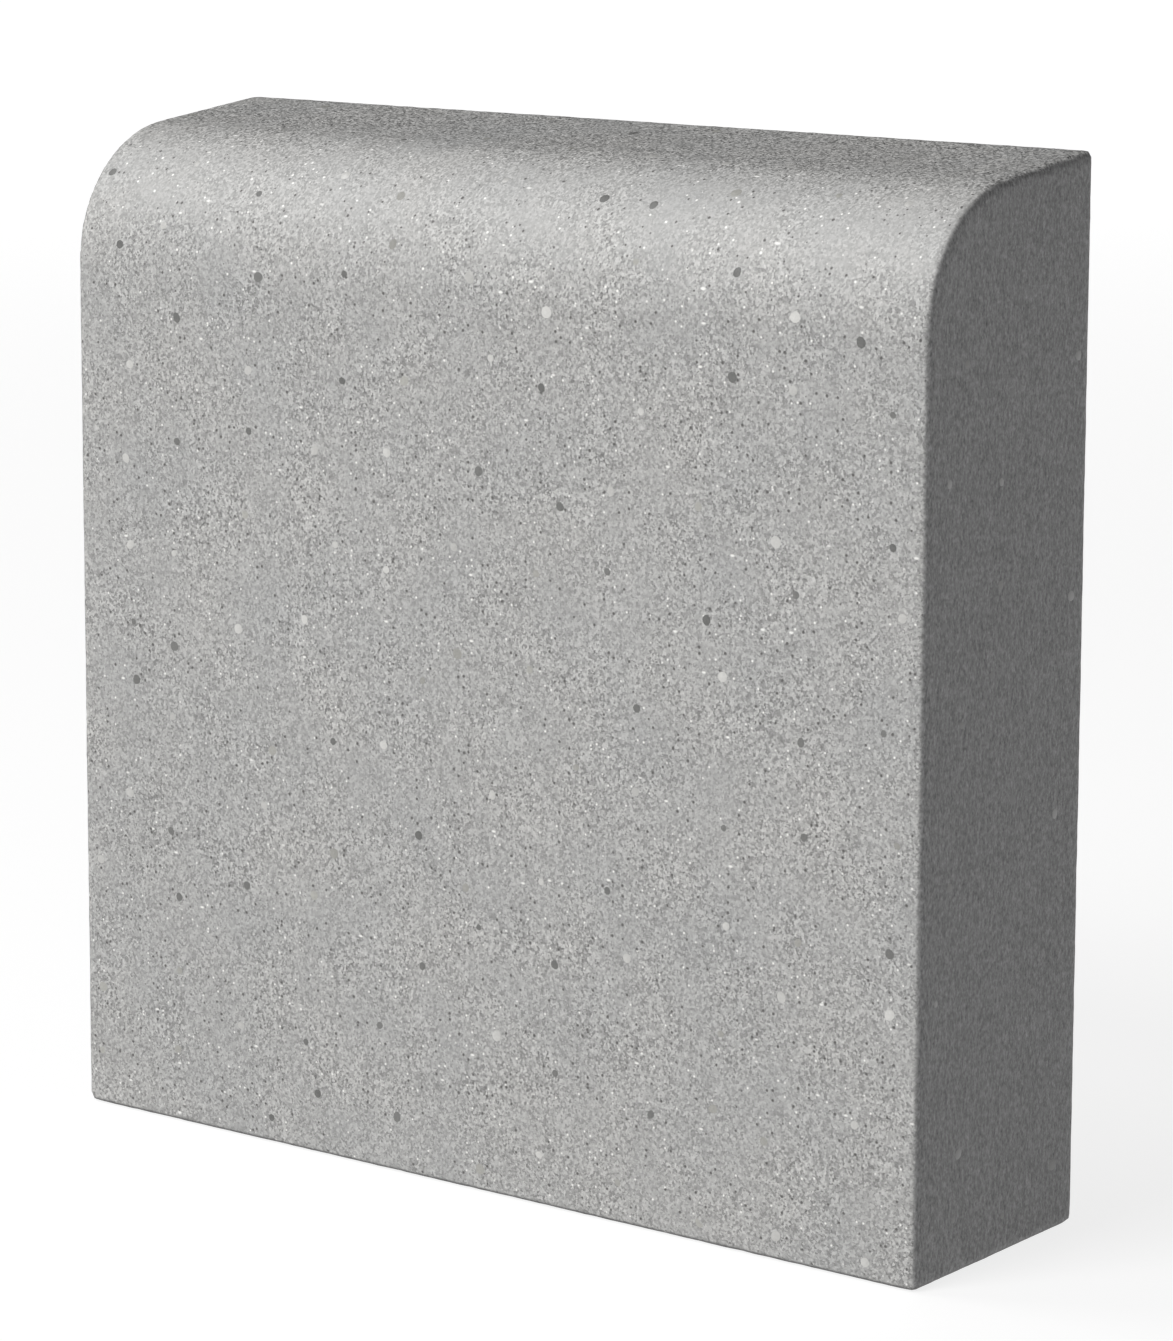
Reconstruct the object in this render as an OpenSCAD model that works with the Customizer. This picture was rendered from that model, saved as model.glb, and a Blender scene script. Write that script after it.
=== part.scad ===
// Short precast concrete kerb unit: one pressed block with a rounded nose along its front top edge.
// X runs along the kerb line, the front face looks to -Y, and the unit stands on its bed face at z = 0.

/* [Block] */
// Length of the unit along the kerb line
kerb_length = 300; // [200:1:600]
// Height of the unit at its back face
kerb_height = 300; // [200:1:400]
// Thickness of the unit, front face to back face
kerb_thickness = 80; // [60:1:150]
// Radius of the rounded nose along the front top edge
nose_radius = 40; // [15:1:50]
// Fall of the top face towards the front, in degrees
top_fall = 6.3; // [0:0.1:12]
// Radius of the small round on every edge except the nose's own
arris_radius = 2; // [0.5:0.1:4]

/* [Aggregate] */
// Diameter of the smallest stone that shows at the surface
stone_min_d = 2.2; // [2:0.1:3.5]
// Diameter of the largest stone that shows at the surface
stone_max_d = 4.2; // [3.5:0.1:8]
// How far a stone's middle lies under the surface, as a share of its radius
stone_cover = 0.35; // [0.1:0.05:0.8]
// Mean distance from one visible stone to the next
stone_pitch = 27; // [24:1:60]
// Plain mortar left round each visible stone
mortar_gap = 0.8; // [0.5:0.1:2]
// Share of the visible stones that are dark basalt
dark_share = 0.44; // [0.1:0.01:0.6]
// Share of the visible stones that are pale quartz
pale_share = 0.34; // [0.1:0.01:0.35]
// Seed of the stones' scatter
scatter_seed = 11; // [1:1:99]

/* [Colours] */
// Mortar
mortar_colour = "#a9a9a7";
// Basalt stones
dark_colour = "#5c5c5b";
// Limestone stones
grey_colour = "#86857f";
// Quartz stones
pale_colour = "#d4d3ce";

/* [Hidden] */
$fn = 48;

// How far a cutting shape reaches past the face that it cuts
OVER = 1;
// How far the centre of an arris round is moved out, so that the round crosses its two faces
// at a slight angle instead of just touching them
CROSSING = 0.002;
// Outward normals of the faces
FRONT = [0, -1, 0];
BACK = [0, 1, 0];
BED = [0, 0, -1];
END = [1, 0, 0];
TOP = [0, -sin(top_fall), cos(top_fall)];

// The nose's axis lies one radius behind the front face, and its arc meets the falling top face.
front_y = -kerb_thickness / 2;
back_y = kerb_thickness / 2;
nose_y = front_y + nose_radius;
nose_z = kerb_height - (back_y - nose_y) * tan(top_fall) - nose_radius / cos(top_fall);
nose_sweep = 90 - top_fall;
top_start = [nose_y, nose_z] + nose_radius * [TOP.y, TOP.z];
top_run = (back_y - top_start.x) / cos(top_fall);

// The show face runs up the front, round the nose and over the top; v is the distance along it.
nose_run = nose_radius * nose_sweep * PI / 180;
show_run = nose_z + nose_run + top_run;
function nose_turn(v) = min(max(v - nose_z, 0), nose_run) / nose_run * nose_sweep;
function show_normal(v) = [0, -cos(nose_turn(v)), sin(nose_turn(v))];
function show_point(x, v) =
    v < nose_z ? [x, front_y, v]
    : [x, nose_y, nose_z] + nose_radius * show_normal(v)
        + max(v - nose_z - nose_run, 0) * [0, cos(top_fall), sin(top_fall)];

// A scatter has one stone in each cell of a grid: [u, v, diameter, kind draw].
// A stone keeps clear of its cell's rim, so stones never meet each other or an arris.
cell_margin = arris_radius + stone_max_d / 2 + mortar_gap;
function scatter(width, run, seed) =
    let (
        cols = round(width / stone_pitch),
        rows = round(run / stone_pitch),
        cell = [width / cols, run / rows],
        draw = rands(0, 1, 4 * cols * rows, seed)
    )
    [for (i = [0:cols - 1], j = [0:rows - 1])
        let (k = 4 * (i * rows + j))
        [
            -width / 2 + cell_margin + i * cell.x + draw[k] * (cell.x - 2 * cell_margin),
            cell_margin + j * cell.y + draw[k + 1] * (cell.y - 2 * cell_margin),
            stone_min_d + draw[k + 2] * (stone_max_d - stone_min_d),
            draw[k + 3]
        ]];

// Kinds of stone by their draw
DARK = [0, dark_share];
PALE = [dark_share, dark_share + pale_share];
GREY = [dark_share + pale_share, 1.001];
ANY = [0, 1.001];
function of_kind(list, kind) = [for (s = list) if (s[3] >= kind[0] && s[3] < kind[1]) s];

// 2D section of an arris: the corner outside a round that meets two faces, whose normals are
// [1, 0] and that turned by the angle between them. The corner itself is at the origin.
module arris_section(turn) {
    a = [1, 0];
    b = [cos(turn), sin(turn)];
    middle = -(a + b) * arris_radius / (1 + cos(turn));
    reach = arris_radius + OVER;
    translate(middle) difference() {
        polygon([[0, 0], reach * a, reach * (a + b) / (1 + cos(turn)), reach * b]);
        translate((a + b) * CROSSING) circle(arris_radius);
    }
}

// Cuts the round along one straight edge, with the middle of the edge and the two faces' normals.
module arris_cut(middle, normal_a, normal_b, run) {
    along = cross(normal_a, normal_b) / norm(cross(normal_a, normal_b));
    side = cross(along, normal_a);
    multmatrix([
        [normal_a.x, side.x, along.x, middle.x],
        [normal_a.y, side.y, along.y, middle.y],
        [normal_a.z, side.z, along.z, middle.z],
        [0, 0, 0, 1]
    ])
        linear_extrude(run, center = true)
            arris_section(acos(normal_a * normal_b));
}

// Cuts the rounds on all the edges of the +X end face, the curved one at the end of the nose included
module end_cuts() {
    x = kerb_length / 2;
    front_cut = nose_z + OVER;
    arris_cut([x, front_y, nose_z - front_cut / 2], END, FRONT, front_cut);
    arris_cut([x, back_y, kerb_height / 2], END, BACK, kerb_height + 2 * OVER);
    arris_cut([x, 0, 0], END, BED, kerb_thickness + 2 * OVER);
    top_cut = top_run + OVER;
    top_middle = top_start + top_cut / 2 * [cos(top_fall), sin(top_fall)];
    arris_cut([x, top_middle.x, top_middle.y], END, TOP, top_cut);
    // Local X points out of the front face, Y up and Z along the kerb
    multmatrix([[0, 0, 1, x], [-1, 0, 0, nose_y], [0, 1, 0, nose_z], [0, 0, 0, 1]])
        rotate_extrude(angle = nose_sweep)
            translate([nose_radius, 0]) arris_section(90);
}

// Outline of the kerb seen from its end: x is the kerb's Y and y is its Z.
module kerb_section() {
    nose = [nose_y, nose_z];
    reach = 2 * nose_radius;
    polygon([
        [front_y, 0], [back_y, 0], [back_y, kerb_height],
        top_start, nose, [front_y, nose_z]
    ]);
    intersection() {
        translate(nose) circle(nose_radius);
        polygon([nose, nose + [-reach, 0], nose + [-reach, reach], nose + reach * [TOP.y, TOP.z]]);
    }
}

// The whole unit, stones included
module block() {
    difference() {
        rotate([90, 0, 90])
            linear_extrude(kerb_length, center = true) kerb_section();
        end_cuts();
        mirror([1, 0, 0]) end_cuts();
        long_run = kerb_length + 2 * OVER;
        arris_cut([0, front_y, 0], BED, FRONT, long_run);
        arris_cut([0, back_y, 0], BED, BACK, long_run);
        arris_cut([0, back_y, kerb_height], TOP, BACK, long_run);
    }
}

// Puts a shape made round the origin on a surface, with its Z along the surface's normal.
module seat(surface, normal) {
    start = abs(normal.z) > 0.5 ? END : [0, 0, 1];
    side = cross(start, normal) / norm(cross(start, normal));
    turned = cross(normal, side);
    multmatrix([
        [side.x, turned.x, normal.x, surface.x],
        [side.y, turned.y, normal.y, surface.y],
        [side.z, turned.z, normal.z, surface.z],
        [0, 0, 0, 1]
    ])
        children();
}

// One stone: a ball whose middle lies a little way under the surface, with its crown pressed flush.
// On the nose, crown_drop keeps the rim of the flat crown from standing proud.
module stone(d, crown_drop) {
    cover = stone_cover * d / 2;
    translate([0, 0, -cover])
        rotate_extrude()
            intersection() {
                circle(d = d);
                translate([0, -d]) square([d, d + cover - crown_drop]);
            }
}

// The socket that a stone leaves in the mortar, cut through the surface
module socket(d) {
    translate([0, 0, -stone_cover * d / 2]) sphere(d = d);
}

// Height of the nose's curve over a stone's flat crown, and none where the face is flat
function crown_drop(v, d) =
    nose_turn(v) > 0 && nose_turn(v) < nose_sweep
    ? pow(d / 2, 2) * (1 - pow(stone_cover, 2)) / (2 * nose_radius) : 0;

// Every stone of one kind, or its socket, on the show face, the back face and the two end faces
module stones(kind, sockets = false) {
    for (s = of_kind(scatter(kerb_length, show_run, scatter_seed), kind))
        seat(show_point(s[0], s[1]), show_normal(s[1]))
            if (sockets) socket(s[2]); else stone(s[2], crown_drop(s[1], s[2]));
    for (s = of_kind(scatter(kerb_length, kerb_height, scatter_seed + 1), kind))
        seat([s[0], back_y, s[1]], BACK)
            if (sockets) socket(s[2]); else stone(s[2], 0);
    for (side = [-1, 1], s = of_kind(scatter(kerb_thickness, nose_z, scatter_seed + 3 + side), kind))
        seat([side * kerb_length / 2, s[0], s[1]], side * END)
            if (sockets) socket(s[2]); else stone(s[2], 0);
}

// The mortar body, with the socket of every visible stone
module kerb_body() {
    color(mortar_colour) difference() {
        block();
        stones(ANY, sockets = true);
    }
}

module dark_stones() {
    color(dark_colour) stones(DARK);
}

module grey_stones() {
    color(grey_colour) stones(GREY);
}

module pale_stones() {
    color(pale_colour) stones(PALE);
}

kerb_body();
dark_stones();
grey_stones();
pale_stones();
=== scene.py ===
"""Looks of a short precast concrete kerb unit: a pressed block with a rounded nose, the crushed
stones that show in its faces, and a lit table to see it on. Everything is in metres.

X runs along the kerb line, the front face looks to -Y, and the unit stands on its bed at z = 0."""

import math
import random

import bmesh
import bpy
from mathutils import Matrix, Vector


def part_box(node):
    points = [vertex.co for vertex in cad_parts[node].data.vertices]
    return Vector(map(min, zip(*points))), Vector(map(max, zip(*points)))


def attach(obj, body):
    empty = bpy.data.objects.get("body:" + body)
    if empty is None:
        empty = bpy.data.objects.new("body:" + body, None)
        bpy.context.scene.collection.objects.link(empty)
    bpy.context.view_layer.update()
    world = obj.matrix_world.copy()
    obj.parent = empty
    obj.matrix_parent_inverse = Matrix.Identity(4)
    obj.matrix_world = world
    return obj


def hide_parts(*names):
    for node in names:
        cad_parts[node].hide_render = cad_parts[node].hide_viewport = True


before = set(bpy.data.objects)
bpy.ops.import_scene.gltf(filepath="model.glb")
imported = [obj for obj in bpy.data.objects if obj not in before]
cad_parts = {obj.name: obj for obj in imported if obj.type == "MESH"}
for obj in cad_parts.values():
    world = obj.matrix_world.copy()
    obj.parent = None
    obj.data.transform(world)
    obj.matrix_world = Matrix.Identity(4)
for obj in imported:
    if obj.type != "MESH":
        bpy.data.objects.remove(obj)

bl_info = {
    "name": "Precast kerb unit",
    "version": (1, 0, 0),
    "blender": (4, 5, 0),
    "location": "View3D > Sidebar > Kerb",
    "description": "Builds the concrete block, its visible stones and the stage of a short precast kerb unit",
    "category": "Add Mesh",
}

MM = 0.001
LOW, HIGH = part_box("kerb_body")

# The stones of each kind: CAD node, material slot, and the shape of the one pebble that is copied
STONES = (
    # node, slot, sides, flatness of the crown, roughness of the outline
    ("dark_stones", "basalt", 9, 0.80, 0.16),
    ("grey_stones", "limestone", 10, 0.86, 0.12),
    ("pale_stones", "quartz", 11, 0.90, 0.08),
)
# Depth of a stone's middle under the surface, as a share of its radius, as in the CAD
STONE_COVER = 0.35
# How far a stone's crown is sunk, so that it never stands proud of the face
STONE_SINK = 0.015 * MM


# ---------------------------------------------------------------- colours and nodes


def linear(code):
    """Turns an sRGB hex value into linear red, green and blue."""
    parts = [int(code[i:i + 2], 16) / 255 for i in (1, 3, 5)]
    return tuple(c / 12.92 if c <= 0.04045 else ((c + 0.055) / 1.055) ** 2.4 for c in parts)


def add(tree, kind, inputs=None, **settings):
    """Adds one node with its settings. An input given a socket is linked to it, otherwise set."""
    node = tree.nodes.new(kind)
    for name, value in settings.items():
        setattr(node, name, value)
    for name, value in (inputs or {}).items():
        if isinstance(value, bpy.types.NodeSocket):
            tree.links.new(value, node.inputs[name])
        else:
            node.inputs[name].default_value = value
    return node


def maths(tree, operation, *values, **settings):
    """A Math node's result. MULTIPLY_ADD takes a value, its factor and what is added."""
    return add(tree, "ShaderNodeMath", dict(enumerate(values)), operation=operation, **settings).outputs[0]


def vector(tree, operation, *values):
    """A Vector Math node's result."""
    return add(tree, "ShaderNodeVectorMath", dict(enumerate(values)), operation=operation).outputs[0]


def remap(tree, value, start, stop, low=0.0, high=1.0, **settings):
    """Maps start to stop onto low to high, and holds the ends unless clamp is off."""
    inputs = {0: value, 1: start, 2: stop, 3: low, 4: high}
    return add(tree, "ShaderNodeMapRange", inputs, **settings).outputs[0]


def fade(tree, value, start, stop):
    """0 below start and 1 above stop, with a smooth change between them."""
    return remap(tree, value, start, stop, interpolation_type="SMOOTHSTEP")


def around(tree, noise_value, spread, clamp=False):
    """Maps 0.25 to 0.75, where most of a noise lies, onto 1 minus spread to 1 plus spread."""
    return remap(tree, noise_value, 0.25, 0.75, 1 - spread, 1 + spread, clamp=clamp)


def grain_noise(tree, place, size, detail, roughness=0.5):
    """A Noise Texture whose patches are of a size in the units of its place."""
    inputs = {"Vector": place, "Scale": 1 / size, "Detail": detail, "Roughness": roughness}
    return add(tree, "ShaderNodeTexNoise", inputs)


def cells(tree, place, size):
    """A Voronoi Texture whose cells are of a size in the units of its place."""
    return add(tree, "ShaderNodeTexVoronoi", {"Vector": place, "Scale": 1 / size}, feature="F1")


def mix(tree, low, high, factor):
    """Mixes two colours."""
    return add(tree, "ShaderNodeMix", {0: factor, 6: low, 7: high}, data_type="RGBA").outputs[2]


def shade(tree, colour, factor):
    """A colour made lighter or darker by a factor."""
    return add(tree, "ShaderNodeVectorMath", {0: colour, "Scale": factor}, operation="SCALE").outputs[0]


def specks(tree, place, pitch, share, size, shift):
    """Single grains or pits, one in a share of the cells of a pitch, round with soft edges.

    Their radius goes up to size, and shift sets one pattern apart from the next."""
    cell = cells(tree, vector(tree, "ADD", place, (shift,) * 3), pitch)
    draw = add(tree, "ShaderNodeSeparateColor", {0: cell.outputs["Color"]})
    chosen = maths(tree, "LESS_THAN", draw.outputs["Red"], share)
    radius = maths(tree, "MULTIPLY_ADD", draw.outputs["Green"], size * 0.6 / pitch, size * 0.4 / pitch)
    spot = remap(tree, cell.outputs["Distance"], radius, 0.0)
    crisp = maths(tree, "MULTIPLY", spot, 1.8, use_clamp=True)
    return maths(tree, "MULTIPLY", crisp, chosen)


def new_material(name):
    """An empty material with a Principled surface, and the Object coordinates in millimetres."""
    material = bpy.data.materials.new(name)
    material.use_nodes = True
    tree = material.node_tree
    tree.nodes.clear()
    surface = add(tree, "ShaderNodeBsdfPrincipled")
    add(tree, "ShaderNodeOutputMaterial", {"Surface": surface.outputs["BSDF"]})
    place = add(tree, "ShaderNodeTexCoord").outputs["Object"]
    return material, tree, surface, vector(tree, "MULTIPLY", place, (1 / MM,) * 3)


def add_relief(tree, surface, height, depth):
    """Raises the surface by a height pattern, with a depth in metres."""
    bump = add(tree, "ShaderNodeBump", {"Height": height, "Distance": depth, "Strength": 1.0})
    tree.links.new(bump.outputs["Normal"], surface.inputs["Normal"])


# ---------------------------------------------------------------- materials


def concrete(colours, sizes):
    """Dry-pressed precast concrete, struck from a steel mould: grey mortar with fine sand in it.

    The eye sees a grain of about 0.6 mm on the show faces, pale quartz and dark basalt sand of up to
    1 mm, tiny pits, and soft cloudy patches. The end faces rubbed along the mould plates as the block
    was pushed out, so they are smoother and streaked upright, and they are painted darker: painted shade."""
    material, tree, surface, mm = new_material("precast_concrete_pressed")
    half, front, arris = sizes.length / MM / 2, -sizes.thickness / MM / 2, sizes.arris_radius / MM
    axis_z = nose_axis(sizes)[1] / MM
    axes = add(tree, "ShaderNodeSeparateXYZ", {0: mm})

    # Where a point is: end is 1 on the end faces, and changes over the width of the arris
    reach = maths(tree, "ABSOLUTE", axes.outputs["X"])
    end = fade(tree, reach, half - 0.8 * arris, half - 0.15 * arris)
    # top is 1 on the top face, and on the head of the back; nose is 1 on the upper half of the nose
    rise = fade(tree, axes.outputs["Z"], axis_z - 4, axis_z + 26)
    top = maths(tree, "MULTIPLY", rise, fade(tree, axes.outputs["Y"], front + 18, front + 44))
    nose = maths(tree, "SUBTRACT", rise, top)
    # clear is 0 at the bed, where the arris is painted darker as painted shade, and 1 above it
    clear = fade(tree, axes.outputs["Z"], 0.2 * arris, 0.85 * arris)

    # Sand of 0.65 mm with ragged outlines, each grain with a tone of its own, and cement paste between
    ragged = grain_noise(tree, mm, 0.5, 1.0).outputs["Color"]
    bent = vector(tree, "MULTIPLY_ADD", ragged, (0.5,) * 3, mm)
    sand = add(tree, "ShaderNodeSeparateColor", {0: cells(tree, bent, 0.65).outputs["Color"]})
    paste = grain_noise(tree, mm, 0.65, 2.5, 0.75).outputs["Fac"]
    paste = maths(tree, "MULTIPLY", paste, 0.55)
    grain = maths(tree, "MULTIPLY_ADD", sand.outputs["Blue"], 0.45, paste)
    # The grain is livelier in some patches of 18 mm than in others, most of all on the top face, and
    # calmest on the nose
    patch = grain_noise(tree, mm, 18, 2.0).outputs["Fac"]
    lively = remap(tree, patch, 0.3, 0.7, 0.60, 1.20)
    lively = maths(tree, "MULTIPLY_ADD", top, 0.8, lively)
    lively = maths(tree, "MULTIPLY_ADD", nose, -0.25, lively)
    grain = maths(tree, "MULTIPLY_ADD", maths(tree, "SUBTRACT", grain, 0.5), lively, 0.5)
    # Cloudy patches of damper and drier mortar, 35 mm across
    cloud = grain_noise(tree, mm, 35, 3.0, 0.6).outputs["Fac"]
    # Pale and dark sand that shows as single grains, and pale flecks that lie along the kerb
    pale = specks(tree, mm, 2.0, 0.20, 0.60, 3.1)
    dark = specks(tree, mm, 1.7, 0.20, 0.58, 17.7)
    flecks = specks(tree, vector(tree, "MULTIPLY", mm, (0.4, 1.0, 0.8)), 4.0, 0.30, 0.62, 9.4)

    # Rubbing along the mould plates draws the end faces' grain upright: 0.8 mm wide and 1.5 mm long,
    # over fainter streaks 2.2 mm wide and 25 mm long, with scars where a grain was dragged
    drawn = vector(tree, "MULTIPLY", mm, (1.0, 1.0, 0.55))
    rubbed = grain_noise(tree, drawn, 0.8, 2.0, 0.7).outputs["Fac"]
    streak = grain_noise(tree, vector(tree, "MULTIPLY", mm, (1.0, 1.0, 0.088)), 2.2, 1.0).outputs["Fac"]
    scars = maths(tree, "MULTIPLY", specks(tree, drawn, 8.0, 0.30, 0.80, 5.3), 0.8)

    mortar, mortar_warm, sand_pale, sand_dark, scar = (
        colour[:] + (1,) for colour in
        (colours.mortar, colours.mortar_warm, colours.sand_pale, colours.sand_dark, colours.scar))
    show = mix(tree, mortar, mortar_warm, remap(tree, cloud, 0.25, 0.75, clamp=False))
    show = shade(tree, show, around(tree, grain, 0.48))
    show = shade(tree, show, around(tree, cloud, 0.035))
    show = mix(tree, show, sand_pale, pale)
    show = mix(tree, show, sand_pale, flecks)
    show = mix(tree, show, sand_dark, dark)
    # The top is a little paler than the front, and the upper half of the nose is painted paler still: a
    # painted highlight
    show = shade(tree, show, remap(tree, top, 0.0, 1.0, 1.0, 1.06))
    show = shade(tree, show, remap(tree, nose, 0.0, 1.0, 1.0, 1.305))
    # The end faces' mortar is painted darker than the show faces': painted shade, under the real streaks and
    # scars
    side = shade(tree, colours.end_face[:], around(tree, rubbed, 0.62))
    side = shade(tree, side, around(tree, streak, 0.05))
    side = shade(tree, side, around(tree, grain, 0.12))
    side = mix(tree, side, scar, scars)
    # The bed arris is painted down to 0.15 of its colour: painted shade
    bed_painted_shade = remap(tree, clear, 0.0, 1.0, 0.15, 1.0)
    tree.links.new(shade(tree, mix(tree, show, side, end), bed_painted_shade), surface.inputs["Base Color"])

    tree.links.new(remap(tree, grain, 0.25, 0.75, 0.50, 0.66), surface.inputs["Roughness"])
    surface.inputs["IOR"].default_value = 1.5
    # The sand stands about 0.1 mm proud and the pits are 0.2 mm deep; the end faces are smoother
    height = maths(tree, "MULTIPLY_ADD", dark, -1.4, grain)
    calm = remap(tree, end, 0.0, 1.0, 1.0, 0.35)
    add_relief(tree, surface, maths(tree, "MULTIPLY", height, calm), 0.16 * MM)
    return material


def crushed_stone(name, colour, shaded_end_colour, half, roughness, ior, veins):
    """One kind of crushed stone: an even colour with a fine mottle, and a face worn flush by the mould.

    Each stone is a little lighter or darker than the next. On the end faces the stones are mixed towards
    the end faces' colour, so they carry its painted shade. half is half of the unit's length in millimetres."""
    material, tree, surface, mm = new_material(name)
    axes = add(tree, "ShaderNodeSeparateXYZ", {0: mm})
    # The painted shade of the end faces is only on the stones whose crowns lie in an end face
    reach = maths(tree, "ABSOLUTE", axes.outputs["X"])
    in_end_shade = remap(tree, reach, half - 1.5, half - 1.4, 0.0, 0.8)
    # Mottle of 0.7 mm crystals, drawn as coarse as it needs to show
    mottle = grain_noise(tree, mm, 0.7, 2.0).outputs["Fac"]
    # The stones lie 27 mm apart, so a pattern of 22 mm gives each its own tone
    tone = grain_noise(tree, mm, 22, 0.0).outputs["Fac"]
    whole = remap(tree, tone, 0.3, 0.7, 0.84, 1.16)
    factor = maths(tree, "MULTIPLY", around(tree, mottle, veins, clamp=True), whole)
    stone_with_end_shade = mix(tree, shade(tree, colour, factor), shaded_end_colour + (1,), in_end_shade)
    tree.links.new(stone_with_end_shade, surface.inputs["Base Color"])
    surface.inputs["Roughness"].default_value = roughness
    surface.inputs["IOR"].default_value = ior
    add_relief(tree, surface, mottle, 0.05 * MM)
    return material


def lit_acrylic(colour):
    """Opal acrylic, cast in a sheet and lit from below, with a dull surface.

    The softboxes light the middle of the table, so it glows a little more away from it."""
    material, tree, surface, mm = new_material("acrylic_opal_lit")
    surface.inputs["Base Color"].default_value = colour + (1,)
    surface.inputs["Roughness"].default_value = 0.7
    surface.inputs["Emission Color"].default_value = (1, 1, 1, 1)
    away = add(tree, "ShaderNodeVectorMath", {0: mm}, operation="LENGTH").outputs["Value"]
    glow = remap(tree, away, 600, 4000, 0.8, 0.97, interpolation_type="SMOOTHSTEP")
    tree.links.new(glow, surface.inputs["Emission Strength"])
    return material


# ---------------------------------------------------------------- modelling helpers


def nose_axis(sizes):
    """The y and z of the axis of the rounded nose."""
    behind, fall = sizes.thickness - sizes.nose_radius, sizes.top_fall
    height = sizes.height - behind * math.tan(fall) - sizes.nose_radius / math.cos(fall)
    return sizes.nose_radius - sizes.thickness / 2, height


def only(obj):
    """Makes one object the active and only selected one."""
    bpy.ops.object.select_all(action="DESELECT")
    obj.select_set(True)
    bpy.context.view_layer.objects.active = obj


def edit(obj):
    """Opens one object in edit mode."""
    only(obj)
    bpy.ops.object.mode_set(mode="EDIT")


def done():
    """Goes back to object mode."""
    bpy.ops.object.mode_set(mode="OBJECT")


def pick(obj, kind, wanted):
    """Selects, in edit mode, the vertices, edges or faces that pass a test, and nothing else."""
    bpy.ops.mesh.select_mode(type=kind)
    bpy.ops.mesh.select_all(action="DESELECT")
    shape = bmesh.from_edit_mesh(obj.data)
    rows = {"VERT": shape.verts, "EDGE": shape.edges, "FACE": shape.faces}[kind]
    hits = [item for item in rows if wanted(item)]
    if not hits:
        raise RuntimeError("nothing to select on " + obj.name)
    for item in hits:
        item.select_set(True)
    bmesh.update_edit_mesh(obj.data)


def face_outwards():
    """Turns every normal of the mesh in edit mode outwards."""
    bpy.ops.mesh.select_all(action="SELECT")
    bpy.ops.mesh.normals_make_consistent(inside=False)


def apply_modifier(obj, kind, **settings):
    """Adds a modifier, sets it and applies it."""
    only(obj)
    modifier = obj.modifiers.new(kind.title(), kind)
    for name, value in settings.items():
        setattr(modifier, name, value)
    bpy.ops.object.modifier_apply(modifier=modifier.name)


def displace(obj, texture, size, depth=2, **settings):
    """Moves the surface by a cloud texture whose patches are of about a size in metres."""
    clouds = bpy.data.textures.new(texture, "CLOUDS")
    clouds.noise_scale = size
    clouds.noise_depth = depth
    apply_modifier(obj, "DISPLACE", texture=clouds, texture_coords="LOCAL", **settings)


# ---------------------------------------------------------------- sizes and colours


class KerbSizes(bpy.types.PropertyGroup):
    """Sizes of the unit."""

    length: bpy.props.FloatProperty(
        name="Length", description="Length along the kerb line", unit="LENGTH", default=HIGH.x - LOW.x)
    height: bpy.props.FloatProperty(
        name="Height", description="Height at the back face, before its arris is rounded", unit="LENGTH",
        default=0.300)
    thickness: bpy.props.FloatProperty(
        name="Thickness", description="From the front face to the back face", unit="LENGTH",
        default=HIGH.y - LOW.y)
    nose_radius: bpy.props.FloatProperty(
        name="Nose radius", description="Radius of the rounded front top edge", unit="LENGTH", default=0.040)
    top_fall: bpy.props.FloatProperty(
        name="Top fall", description="Fall of the top face towards the front", unit="ROTATION",
        default=math.radians(6.3))
    arris_radius: bpy.props.FloatProperty(
        name="Arris radius", description="Round on every other edge", unit="LENGTH", default=0.002)
    mesh_pitch: bpy.props.FloatProperty(
        name="Mesh pitch", description="Side of one face of the block's mesh", unit="LENGTH", default=0.0018)
    face_wear: bpy.props.FloatProperty(
        name="Face unevenness", description="Depth of the slow hollows in the faces", unit="LENGTH",
        default=0.00012)
    arris_wear: bpy.props.FloatProperty(
        name="Arris wear", description="Depth of the crumbs lost along the edges", unit="LENGTH",
        default=0.00025)


class KerbColours(bpy.types.PropertyGroup):
    """Colours of the unit and the stage."""

    mortar: bpy.props.FloatVectorProperty(
        name="Mortar", description="Cement mortar of the show faces", subtype="COLOR",
        default=linear("#a1a1a0"))
    mortar_warm: bpy.props.FloatVectorProperty(
        name="Warm mortar", description="Patches of slightly warmer mortar", subtype="COLOR",
        default=linear("#a2a19f"))
    # The end faces' colour is darker than the show mortar: painted shade
    end_face: bpy.props.FloatVectorProperty(
        name="End faces", description="Mortar of the end faces", subtype="COLOR", default=linear("#6d6d6d"))
    sand_pale: bpy.props.FloatVectorProperty(
        name="Pale sand", description="Quartz grains of the sand", subtype="COLOR",
        default=linear("#e6e5e2"))
    sand_dark: bpy.props.FloatVectorProperty(
        name="Dark sand", description="Dark grains and pits", subtype="COLOR", default=linear("#5c5b59"))
    scar: bpy.props.FloatVectorProperty(
        name="Scars", description="Dragged grains of the end faces", subtype="COLOR",
        default=linear("#434342"))
    basalt: bpy.props.FloatVectorProperty(
        name="Basalt", description="Dark stones", subtype="COLOR", default=linear("#666664"))
    limestone: bpy.props.FloatVectorProperty(
        name="Limestone", description="Grey stones", subtype="COLOR", default=linear("#999893"))
    quartz: bpy.props.FloatVectorProperty(
        name="Quartz", description="Pale stones", subtype="COLOR", default=linear("#bdbcb9"))
    table: bpy.props.FloatVectorProperty(
        name="Table", description="White acrylic of the lit table", subtype="COLOR",
        default=linear("#898989"))


# ---------------------------------------------------------------- the block


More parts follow.
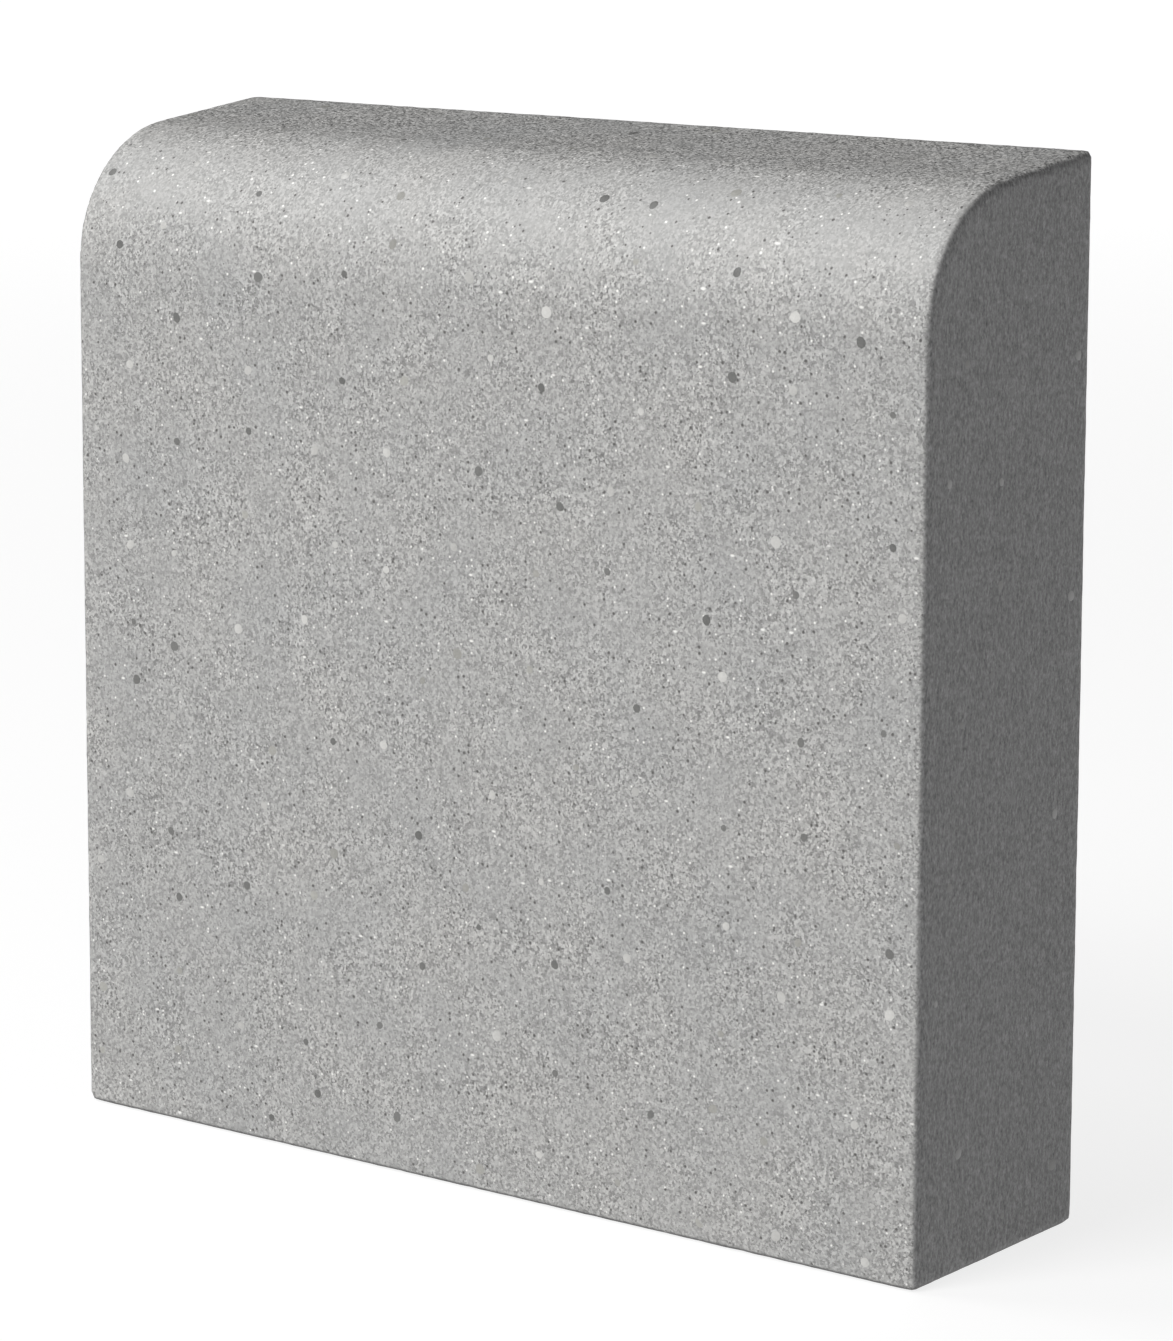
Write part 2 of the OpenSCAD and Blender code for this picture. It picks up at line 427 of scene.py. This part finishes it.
class KERB_OT_block(bpy.types.Operator):
    """Builds the concrete block"""

    bl_idname = "kerb.block"
    bl_label = "Concrete block"

    def execute(self, context):
        sizes, colours = context.scene.kerb_sizes, context.scene.kerb_colours
        long, high, thick = sizes.length, sizes.height, sizes.thickness
        nose, fall = sizes.nose_radius, sizes.top_fall
        tiny = 0.01 * MM
        bpy.ops.object.select_all(action="DESELECT")
        bpy.ops.mesh.primitive_cube_add(size=1, location=(0, 0, high / 2), scale=(long, thick, high))
        block = context.object
        block.name = block.data.name = "concrete_block"
        bpy.ops.object.transform_apply(location=True, rotation=True, scale=True)

        # The top falls to the front, then the front top edge is rolled over into the nose
        edit(block)
        pick(block, "VERT", lambda v: v.co.z > high - tiny and v.co.y < 0)
        bpy.ops.transform.translate(value=(0, 0, -thick * math.tan(fall)))
        pick(block, "EDGE", lambda e: all(v.co.z > high / 2 and v.co.y < 0 for v in e.verts))
        turn = math.pi / 2 - fall
        bpy.ops.mesh.bevel(offset=nose * math.tan(turn / 2), offset_type="OFFSET", segments=24, profile=0.5,
                           affect="EDGES", clamp_overlap=False)
        done()
        # A bevel's arc is a little flat between faces that aren't square, so it is trued to its radius
        axis_y, axis_z = nose_axis(sizes)
        for v in block.data.vertices:
            spoke = Vector((0, v.co.y - axis_y, v.co.z - axis_z))
            if spoke.y < tiny and v.co.z > axis_z:
                spoke.normalize()
                v.co.y, v.co.z = axis_y + nose * spoke.y, axis_z + nose * spoke.z

        # Every other edge gets its small arris round
        edit(block)
        pick(block, "EDGE", lambda e: e.is_manifold and e.calc_face_angle() > math.radians(30))
        bpy.ops.mesh.bevel(offset=sizes.arris_radius, offset_type="OFFSET", segments=4, profile=0.5,
                           affect="EDGES", clamp_overlap=False)
        face_outwards()
        done()

        # An even mesh, laid back on the exact shape, takes the wear
        only(block)
        bpy.ops.object.duplicate()
        exact = context.object
        apply_modifier(block, "REMESH", mode="VOXEL", voxel_size=sizes.mesh_pitch)
        apply_modifier(block, "SHRINKWRAP", target=exact, wrap_method="NEAREST_SURFACEPOINT")
        only(exact)
        bpy.ops.object.delete()
        self.mark_arrises(block, sizes)
        displace(block, "face_hollows", 0.028, mid_level=1.0, strength=sizes.face_wear)
        displace(block, "arris_crumbs", 0.005, 3, mid_level=0.75, strength=sizes.arris_wear,
                 vertex_group="arris")
        only(block)
        bpy.ops.object.shade_smooth()
        block.data.materials.clear()
        block.data.materials.append(concrete(colours, sizes))
        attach(block, "root")
        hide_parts("kerb_body")
        return {"FINISHED"}

    def mark_arrises(self, block, sizes):
        """Puts the vertices of the arris rounds in a group. A normal that leans is on a round."""
        square_on, edge_on = 0.992, 0.12
        near_bed, near_top, near_back = 2.2 * MM, sizes.height - 4 * MM, sizes.thickness / 2 - 3 * MM
        arrises = block.vertex_groups.new(name="arris")
        for v in block.data.vertices:
            across = abs(v.normal.x)
            at_end = edge_on < across < square_on
            lengthwise = across < edge_on and (
                v.co.z < near_bed or (v.co.z > near_top and v.co.y > near_back))
            if at_end or (lengthwise and max(abs(v.normal.y), abs(v.normal.z)) < square_on):
                arrises.add([v.index], 1.0, "REPLACE")


# ---------------------------------------------------------------- the stones


def islands(shape):
    """The separate shells of a mesh, each as its low and high corner."""
    left, boxes = set(shape.verts), []
    while left:
        stack, island = [left.pop()], []
        while stack:
            v = stack.pop()
            island.append(v.co)
            for edge in v.link_edges:
                other = edge.other_vert(v)
                if other in left:
                    left.remove(other)
                    stack.append(other)
        boxes.append(tuple(Vector([reach(co[i] for co in island) for i in range(3)]) for reach in (min, max)))
    return boxes


def stone_seats(node, sizes):
    """Where each stone of a CAD node shows: the middle of its crown, its outward normal and its diameter."""
    shape = bmesh.new()
    shape.from_mesh(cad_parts[node].data)
    bmesh.ops.remove_doubles(shape, verts=shape.verts, dist=1e-7)
    half, back, axis = sizes.length / 2, sizes.thickness / 2, Vector((0, *nose_axis(sizes)))
    top = Vector((0, -math.sin(sizes.top_fall), math.cos(sizes.top_fall)))
    up_the_top = Vector((0, top.z, -top.y))
    seats = []
    for low, high in islands(shape):
        middle, size = (low + high) / 2, max(high - low)
        # A stone belongs to a face when it lies no deeper under it than its own radius
        near = size / 2 * 1.05
        if half - abs(middle.x) < near:
            normal = Vector((math.copysign(1, middle.x), 0, 0))
            crown = Vector((math.copysign(half, middle.x), middle.y, middle.z))
        elif back - middle.y < near:
            normal, crown = Vector((0, 1, 0)), Vector((middle.x, back, middle.z))
        elif middle.z < axis.z:
            normal, crown = Vector((0, -1, 0)), Vector((middle.x, -back, middle.z))
        else:
            spoke = Vector((0, middle.y - axis.y, middle.z - axis.z))
            on_top = spoke.dot(up_the_top) > 0
            normal = top if on_top else spoke.normalized()
            crown = middle + normal * (sizes.nose_radius - (spoke.dot(top) if on_top else spoke.length))
        seats.append((crown, normal, size))
    shape.free()
    seats.sort(key=lambda seat: tuple(round(c, 5) for c in seat[0]))
    return seats


def master_pebble(context, name, sides, flatness, rough):
    """One pebble of diameter 1 whose crown lies in the plane z = 0: a ball cut off and domed a little."""
    shoulder, dome = 0.03, 0.026
    bpy.ops.object.select_all(action="DESELECT")
    bpy.ops.mesh.primitive_uv_sphere_add(
        segments=sides, ring_count=6, radius=0.5, location=(0, 0, -STONE_COVER * 0.5))
    pebble = context.object
    pebble.name = name
    bpy.ops.object.transform_apply(location=True, rotation=True, scale=True)
    edit(pebble)
    bpy.ops.mesh.select_all(action="SELECT")
    bpy.ops.mesh.bisect(plane_co=(0, 0, -shoulder), plane_no=(0, 0, 1), use_fill=True, clear_outer=True)
    pick(pebble, "FACE", lambda f: f.normal.z > 0.99)
    bpy.ops.mesh.inset(thickness=0.5 * (1 - flatness))
    bpy.ops.transform.translate(value=(0, 0, dome))
    face_outwards()
    done()
    # The outline is broken, as crushed stone is; the crown stays level
    displace(pebble, name + "_outline", 0.35, direction="X", mid_level=0.5, strength=rough)
    displace(pebble, name + "_outline_across", 0.45, direction="Y", mid_level=0.5, strength=rough)
    return pebble


class KERB_OT_stones(bpy.types.Operator):
    """Sets the dark, grey and pale stones flush in the faces"""

    bl_idname = "kerb.stones"
    bl_label = "Stones"

    def execute(self, context):
        sizes, colours = context.scene.kerb_sizes, context.scene.kerb_colours
        # The end faces' colour, with its painted shade, is passed on to the stones that lie in the end faces
        shaded_end_colour, half = colours.end_face[:], sizes.length / MM / 2
        materials = {
            # Basalt: dense, dark and dull, broken by a crusher
            "basalt": crushed_stone("basalt_crushed", colours.basalt[:], shaded_end_colour, half, 0.55, 1.6, 0.16),
            # Limestone: mid grey with a trace of brown, and softer edges
            "limestone": crushed_stone(
                "limestone_crushed", colours.limestone[:], shaded_end_colour, half, 0.6, 1.55, 0.10),
            # Quartz: nearly white river gravel with a slight gloss
            "quartz": crushed_stone("quartz_gravel", colours.quartz[:], shaded_end_colour, half, 0.42, 1.544, 0.07),
        }
        for node, slot, sides, flatness, rough in STONES:
            master = master_pebble(context, slot + "_pebble", sides, flatness, rough)
            chance = random.Random(node)
            copies = []
            for crown, normal, size in stone_seats(node, sizes):
                copy = master.copy()
                copy.data = master.data.copy()
                context.collection.objects.link(copy)
                turn = Matrix.Rotation(chance.uniform(0, 2 * math.pi), 4, "Z")
                squash = Matrix.Diagonal((chance.uniform(0.9, 1.0), chance.uniform(0.78, 0.98), 0.9, 1))
                seat = normal.to_track_quat("Z", "Y").to_matrix().to_4x4()
                copy.data.transform(Matrix.Translation(crown - normal * STONE_SINK) @ seat @ turn
                                    @ Matrix.Scale(size, 4) @ squash)
                copies.append(copy)
            if not copies:
                raise RuntimeError("the frame has no stones in " + node)
            bpy.ops.object.select_all(action="DESELECT")
            for copy in copies:
                copy.select_set(True)
            context.view_layer.objects.active = copies[0]
            bpy.ops.object.join()
            stones = context.object
            stones.name = stones.data.name = slot + "_stones"
            bpy.data.objects.remove(master)
            only(stones)
            bpy.ops.object.shade_smooth_by_angle(angle=math.radians(40))
            stones.data.materials.clear()
            stones.data.materials.append(materials[slot])
            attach(stones, "root")
            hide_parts(node)
        return {"FINISHED"}


# ---------------------------------------------------------------- the stage


# The softboxes: place, target, side and power in watts
SOFTBOXES = {
    "key_softbox": ((-0.6, -2.1, 2.35), (0, 0, 0.15), 1.4, 63),
    "nose_softbox": ((-1.5, -0.42, 2.1), (0, 0, 0.2), 0.8, 15),
}
TABLE_RADIUS, TABLE_RIM = 12, 2.2
WORLD_STRENGTH = 0.06
CAMERA_PLACE = (0.83349, -1.08231, 0.41360)
CAMERA_LOOK = (-0.59769, 0.78438, -0.16585)
CAMERA_ROLL = math.radians(0.2)
CAMERA_LENS, CAMERA_SENSOR, CAMERA_SHIFT = 130.4, 36, -0.10


def lamp(context, name, place, target, size, power):
    """A square softbox at a place, facing a target."""
    bpy.ops.object.select_all(action="DESELECT")
    bpy.ops.object.light_add(type="AREA", location=place)
    light = context.object
    light.name = name
    light.rotation_euler = (Vector(target) - Vector(place)).to_track_quat("-Z", "Y").to_euler()
    light.data.shape = "SQUARE"
    light.data.size = size
    light.data.energy = power


class KERB_OT_stage(bpy.types.Operator):
    """Makes the lit table, the soft lights, the world and the camera"""

    bl_idname = "kerb.stage"
    bl_label = "Stage"

    def execute(self, context):
        # A round table with its rim turned up far behind
        bpy.ops.object.select_all(action="DESELECT")
        bpy.ops.mesh.primitive_circle_add(
            vertices=96, radius=TABLE_RADIUS, fill_type="NGON", location=(0, 0, 0))
        table = context.object
        table.name = "lit_table"
        edit(table)
        pick(table, "EDGE", lambda e: e.is_boundary)
        bpy.ops.mesh.extrude_region_move(TRANSFORM_OT_translate={"value": (0, 0, TABLE_RIM)})
        done()
        table.data.materials.append(lit_acrylic(context.scene.kerb_colours.table[:]))

        for name, (place, target, size, power) in SOFTBOXES.items():
            lamp(context, name, place, target, size, power)

        world = bpy.data.worlds.new("studio_dim")
        world.use_nodes = True
        world.node_tree.nodes["Background"].inputs["Color"].default_value = (1, 1, 1, 1)
        world.node_tree.nodes["Background"].inputs["Strength"].default_value = WORLD_STRENGTH
        context.scene.world = world
        context.scene.view_settings.view_transform = "Standard"

        bpy.ops.object.select_all(action="DESELECT")
        bpy.ops.object.camera_add(location=CAMERA_PLACE)
        camera = context.object
        camera.name = "camera"
        look = Vector(CAMERA_LOOK).to_track_quat("-Z", "Y").to_matrix()
        camera.rotation_euler = (look @ Matrix.Rotation(CAMERA_ROLL, 3, "Z")).to_euler()
        camera.data.lens = CAMERA_LENS
        camera.data.sensor_width = CAMERA_SENSOR
        camera.data.shift_y = CAMERA_SHIFT
        context.scene.camera = camera
        return {"FINISHED"}


# ---------------------------------------------------------------- panel and registration


class KERB_PT_panel(bpy.types.Panel):
    """Lists the unit's sizes, its colours and the operators that build it"""

    bl_idname = "KERB_PT_panel"
    bl_label = "Precast kerb unit"
    bl_space_type = "VIEW_3D"
    bl_region_type = "UI"
    bl_category = "Kerb"

    def draw(self, context):
        for group in (context.scene.kerb_sizes, context.scene.kerb_colours):
            box = self.layout.box()
            for name in group.__annotations__:
                box.prop(group, name)
        for operator in OPERATORS:
            self.layout.operator(operator.bl_idname)


OPERATORS = (KERB_OT_block, KERB_OT_stones, KERB_OT_stage)
CLASSES = (KerbSizes, KerbColours) + OPERATORS + (KERB_PT_panel,)


def register():
    for cls in CLASSES:
        bpy.utils.register_class(cls)
    bpy.types.Scene.kerb_sizes = bpy.props.PointerProperty(type=KerbSizes)
    bpy.types.Scene.kerb_colours = bpy.props.PointerProperty(type=KerbColours)


def unregister():
    del bpy.types.Scene.kerb_colours
    del bpy.types.Scene.kerb_sizes
    for cls in reversed(CLASSES):
        bpy.utils.unregister_class(cls)


def main():
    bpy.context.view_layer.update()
    register()
    bpy.ops.kerb.block()
    bpy.ops.kerb.stones()
    bpy.ops.kerb.stage()


if __name__ == "__main__":
    main()
